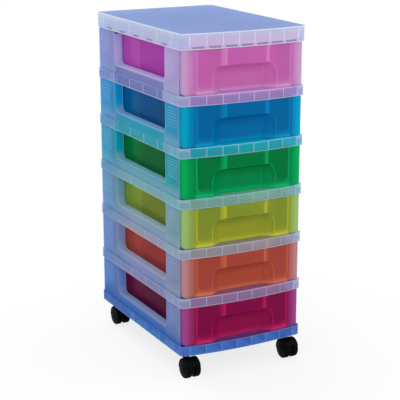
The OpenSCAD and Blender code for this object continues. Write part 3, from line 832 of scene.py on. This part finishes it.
def ring_tree(material):
    """A flat ring bent from strip, open at its split, with ends that stand square."""
    made, sizes = sized_tree("split grip ring", {
        "Radius": RING_RADIUS, "Thickness": RING_STRIP, "Height": RING_HEIGHT, "Corner": RING_CORNER,
        "Split": RING_SPLIT})
    bent = put(made, "GeometryNodeCurveArc", {"mode": "RADIUS"}, {
        "Resolution": 72, "Radius": sizes["Radius"],
        "Sweep Angle": calc(made, "SUBTRACT", 2 * math.pi, sizes["Split"])})
    level_ring = put(made, "GeometryNodeSetCurveNormal", {"mode": "Z_UP"}, {"Curve": bent.outputs[0]})
    section = put(made, "GeometryNodeCurvePrimitiveQuadrilateral", inputs={
        "Width": sizes["Thickness"], "Height": sizes["Height"]})
    softened = put(made, "GeometryNodeFilletCurve", {"mode": "POLY"}, {
        "Curve": section.outputs[0], "Count": 2, "Radius": sizes["Corner"]})
    strip = put(made, "GeometryNodeCurveToMesh", inputs={
        "Curve": level_ring.outputs[0], "Profile Curve": softened.outputs[0], "Fill Caps": True})
    finish_tree(made, strip.outputs[0], material)
    return made


def finish_wheel(axle_y):
    """The finish of a wheel on an axle: its tread is worn."""
    def finish(mesh):
        for face in mesh.faces:
            reach = max(math.hypot(vert.co.y - axle_y, vert.co.z - AXLE_HEIGHT) for vert in face.verts)
            face.material_index = 1 if abs(face.normal.x) < TREAD_SLOPE and reach > TREAD_RADIUS else 0
    return finish


black_hood = worn_finish(
    "black nylon hood", (0.0012, 0.0012, 0.0013), (0.0026, 0.0026, 0.0028), roughness=0.62, grain=0.10)
black_wheel = worn_finish(
    "black nylon wheel", BLACK_NYLON, (0.0022, 0.0022, 0.0024), roughness=0.58, grain=0.08)
black_tread = worn_finish(
    "worn black tread", BLACK_NYLON, (0.0040, 0.0039, 0.0038), roughness=0.78, grain=0.22, specular=0.04,
    streaks=(0.15, 1.0, 1.0), patch=140.0)
black_edge = worn_finish(
    "black nylon edge", BLACK_NYLON, (0.0026, 0.0026, 0.0026), roughness=0.6, grain=0.05)
zinc = worn_finish(
    "zinc plate", (0.50, 0.51, 0.53), (0.66, 0.67, 0.69), roughness=0.32, grain=0.10, metallic=1.0,
    specular=0.5, streaks=(1.0, 1.0, 0.06))
spring_steel = worn_finish(
    "spring steel", (0.30, 0.30, 0.31), (0.44, 0.44, 0.45), roughness=0.42, grain=0.15, metallic=1.0,
    specular=0.5, streaks=(0.3, 0.3, 1.0))
grip_rings = ring_tree(spring_steel)

for end, stem_y in STEM_Y.items():
    for side in ("left", "right"):
        castor = f"{end}_{side}"
        hood = moulding(f"{castor}_hood", [black_hood, black_edge])
        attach(hood, f"{castor}_castor")
        for half in ("left", "right"):
            wheel = moulding(f"{castor}_wheel_{half}", [black_wheel, black_tread, black_edge],
                             finish=finish_wheel(stem_y - AXLE_TRAIL))
            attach(wheel, f"{castor}_wheel_{half}")
        axle = moulding(f"{castor}_axle", [zinc], METAL_ROUNDING)
        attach(axle, f"{castor}_castor")
        stem = moulding(f"{castor}_stem", [zinc], METAL_ROUNDING)
        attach(stem, "tower")
        low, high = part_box(f"{castor}_ring")
        ring = grown(f"{castor}_split_ring", grip_rings, {
            "Radius": (high.x - low.x) / 2 - RING_EASE - RING_STRIP / 2, "Thickness": RING_STRIP,
            "Height": high.z - low.z - 2 * RING_EASE}, [(a + b) / 2 for a, b in zip(low, high)])
        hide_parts(f"{castor}_ring")
        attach(ring, "tower")

# ---- Floor, lamps and camera ----
# A white studio floor that keeps the tower's soft shadow, in white air and under three large soft lamps.
# The camera has a long lens. It stands in front of the tower, to its left and above it.

FLOOR_HALF = 8.0

# near the tower this share of the floor looks plain white and the rest keeps the shadow; over these
# distances from the tower's middle all of it turns plain white
WHITE_SHARE = 0.80
SHADOW_FADE = (0.35, 0.85)


def seen_by(tree, *kinds):
    """1 for the rays of some kinds, and 0 for others."""
    path = put(tree, "ShaderNodeLightPath")
    seen = path.outputs[kinds[0]]
    for kind in kinds[1:]:
        seen = calc(tree, "MAXIMUM", seen, path.outputs[kind])
    return seen


floor_mesh = bpy.data.meshes.new("floor")
floor_corners = [(x * FLOOR_HALF, y * FLOOR_HALF, 0) for x, y in ((-1, -1), (1, -1), (1, 1), (-1, 1))]
floor_mesh.from_pydata(floor_corners, [], [(0, 1, 2, 3)])
floor = bpy.data.objects.new("floor", floor_mesh)
bpy.context.scene.collection.objects.link(floor)
white_floor, tree = new_material("white studio floor")
spot = put(tree, "ShaderNodeTexCoord")
reach = put(tree, "ShaderNodeVectorMath", {"operation": "LENGTH"}, {0: spot.outputs["Object"]})
white = eased(tree, reach.outputs["Value"], *SHADOW_FADE, low=WHITE_SHARE)
lifted = calc(tree, "MULTIPLY", seen_by(tree, "Is Camera Ray", "Is Glossy Ray"), white)
matt = put(tree, "ShaderNodeBsdfDiffuse", inputs={"Color": (0.9, 0.9, 0.9, 1)})
white_card = put(tree, "ShaderNodeEmission", inputs={"Color": (1, 1, 1, 1), "Strength": 1.0})
ground = put(tree, "ShaderNodeMixShader", inputs={0: lifted, 1: matt.outputs[0], 2: white_card.outputs[0]})
put(tree, "ShaderNodeOutputMaterial", inputs={"Surface": ground.outputs[0]})
floor_mesh.materials.append(white_floor)

world = bpy.data.worlds.new("studio")
bpy.context.scene.world = world
world.use_nodes = True
world.node_tree.nodes.clear()
tree = world.node_tree
seen = seen_by(tree, "Is Camera Ray", "Is Glossy Ray", "Is Transmission Ray")
air = put(tree, "ShaderNodeBackground", inputs={"Color": (1, 1, 1, 1), "Strength": 0.85})
backdrop = put(tree, "ShaderNodeBackground", inputs={"Color": (1, 1, 1, 1), "Strength": 1.0})
studio = put(tree, "ShaderNodeMixShader", inputs={0: seen, 1: air.outputs[0], 2: backdrop.outputs[0]})
put(tree, "ShaderNodeOutputWorld", inputs={"Surface": studio.outputs[0]})

LAMP_SIDE = 1.6
LAMP_AIM = (0, 0, 0.4)


def soft_lamp(name, place, power):
    """A square soft lamp that faces the middle of the tower."""
    data = bpy.data.lights.new(name, "AREA")
    data.size = LAMP_SIDE
    data.energy = power
    lamp = bpy.data.objects.new(name, data)
    lamp.location = place
    lamp.rotation_euler = (Vector(LAMP_AIM) - Vector(place)).to_track_quat("-Z", "Y").to_euler()
    bpy.context.scene.collection.objects.link(lamp)


soft_lamp("key lamp", (-0.9, -2.6, 2.2), power=20)
soft_lamp("fill lamp", (2.4, -1.2, 1.6), power=9)
soft_lamp("back lamp", (-0.6, 2.4, 2.2), power=30)

CAMERA_PLACE = (-1.2854, -2.4546, 1.1022)
CAMERA_TURN = math.radians(27.719)
CAMERA_TILT = math.radians(15.429)
LENS = 112.4
SENSOR_WIDTH = 36
WALLS_SEEN_THROUGH = 40
camera_data = bpy.data.cameras.new("camera")
camera_data.lens = LENS
camera_data.sensor_width = SENSOR_WIDTH
camera = bpy.data.objects.new("camera", camera_data)
camera.location = CAMERA_PLACE
camera.rotation_euler = (math.pi / 2 - CAMERA_TILT, 0, -CAMERA_TURN)
bpy.context.scene.collection.objects.link(camera)
bpy.context.scene.camera = camera
bpy.context.scene.view_settings.view_transform = "Standard"
bpy.context.scene.cycles.transparent_max_bounces = WALLS_SEEN_THROUGH
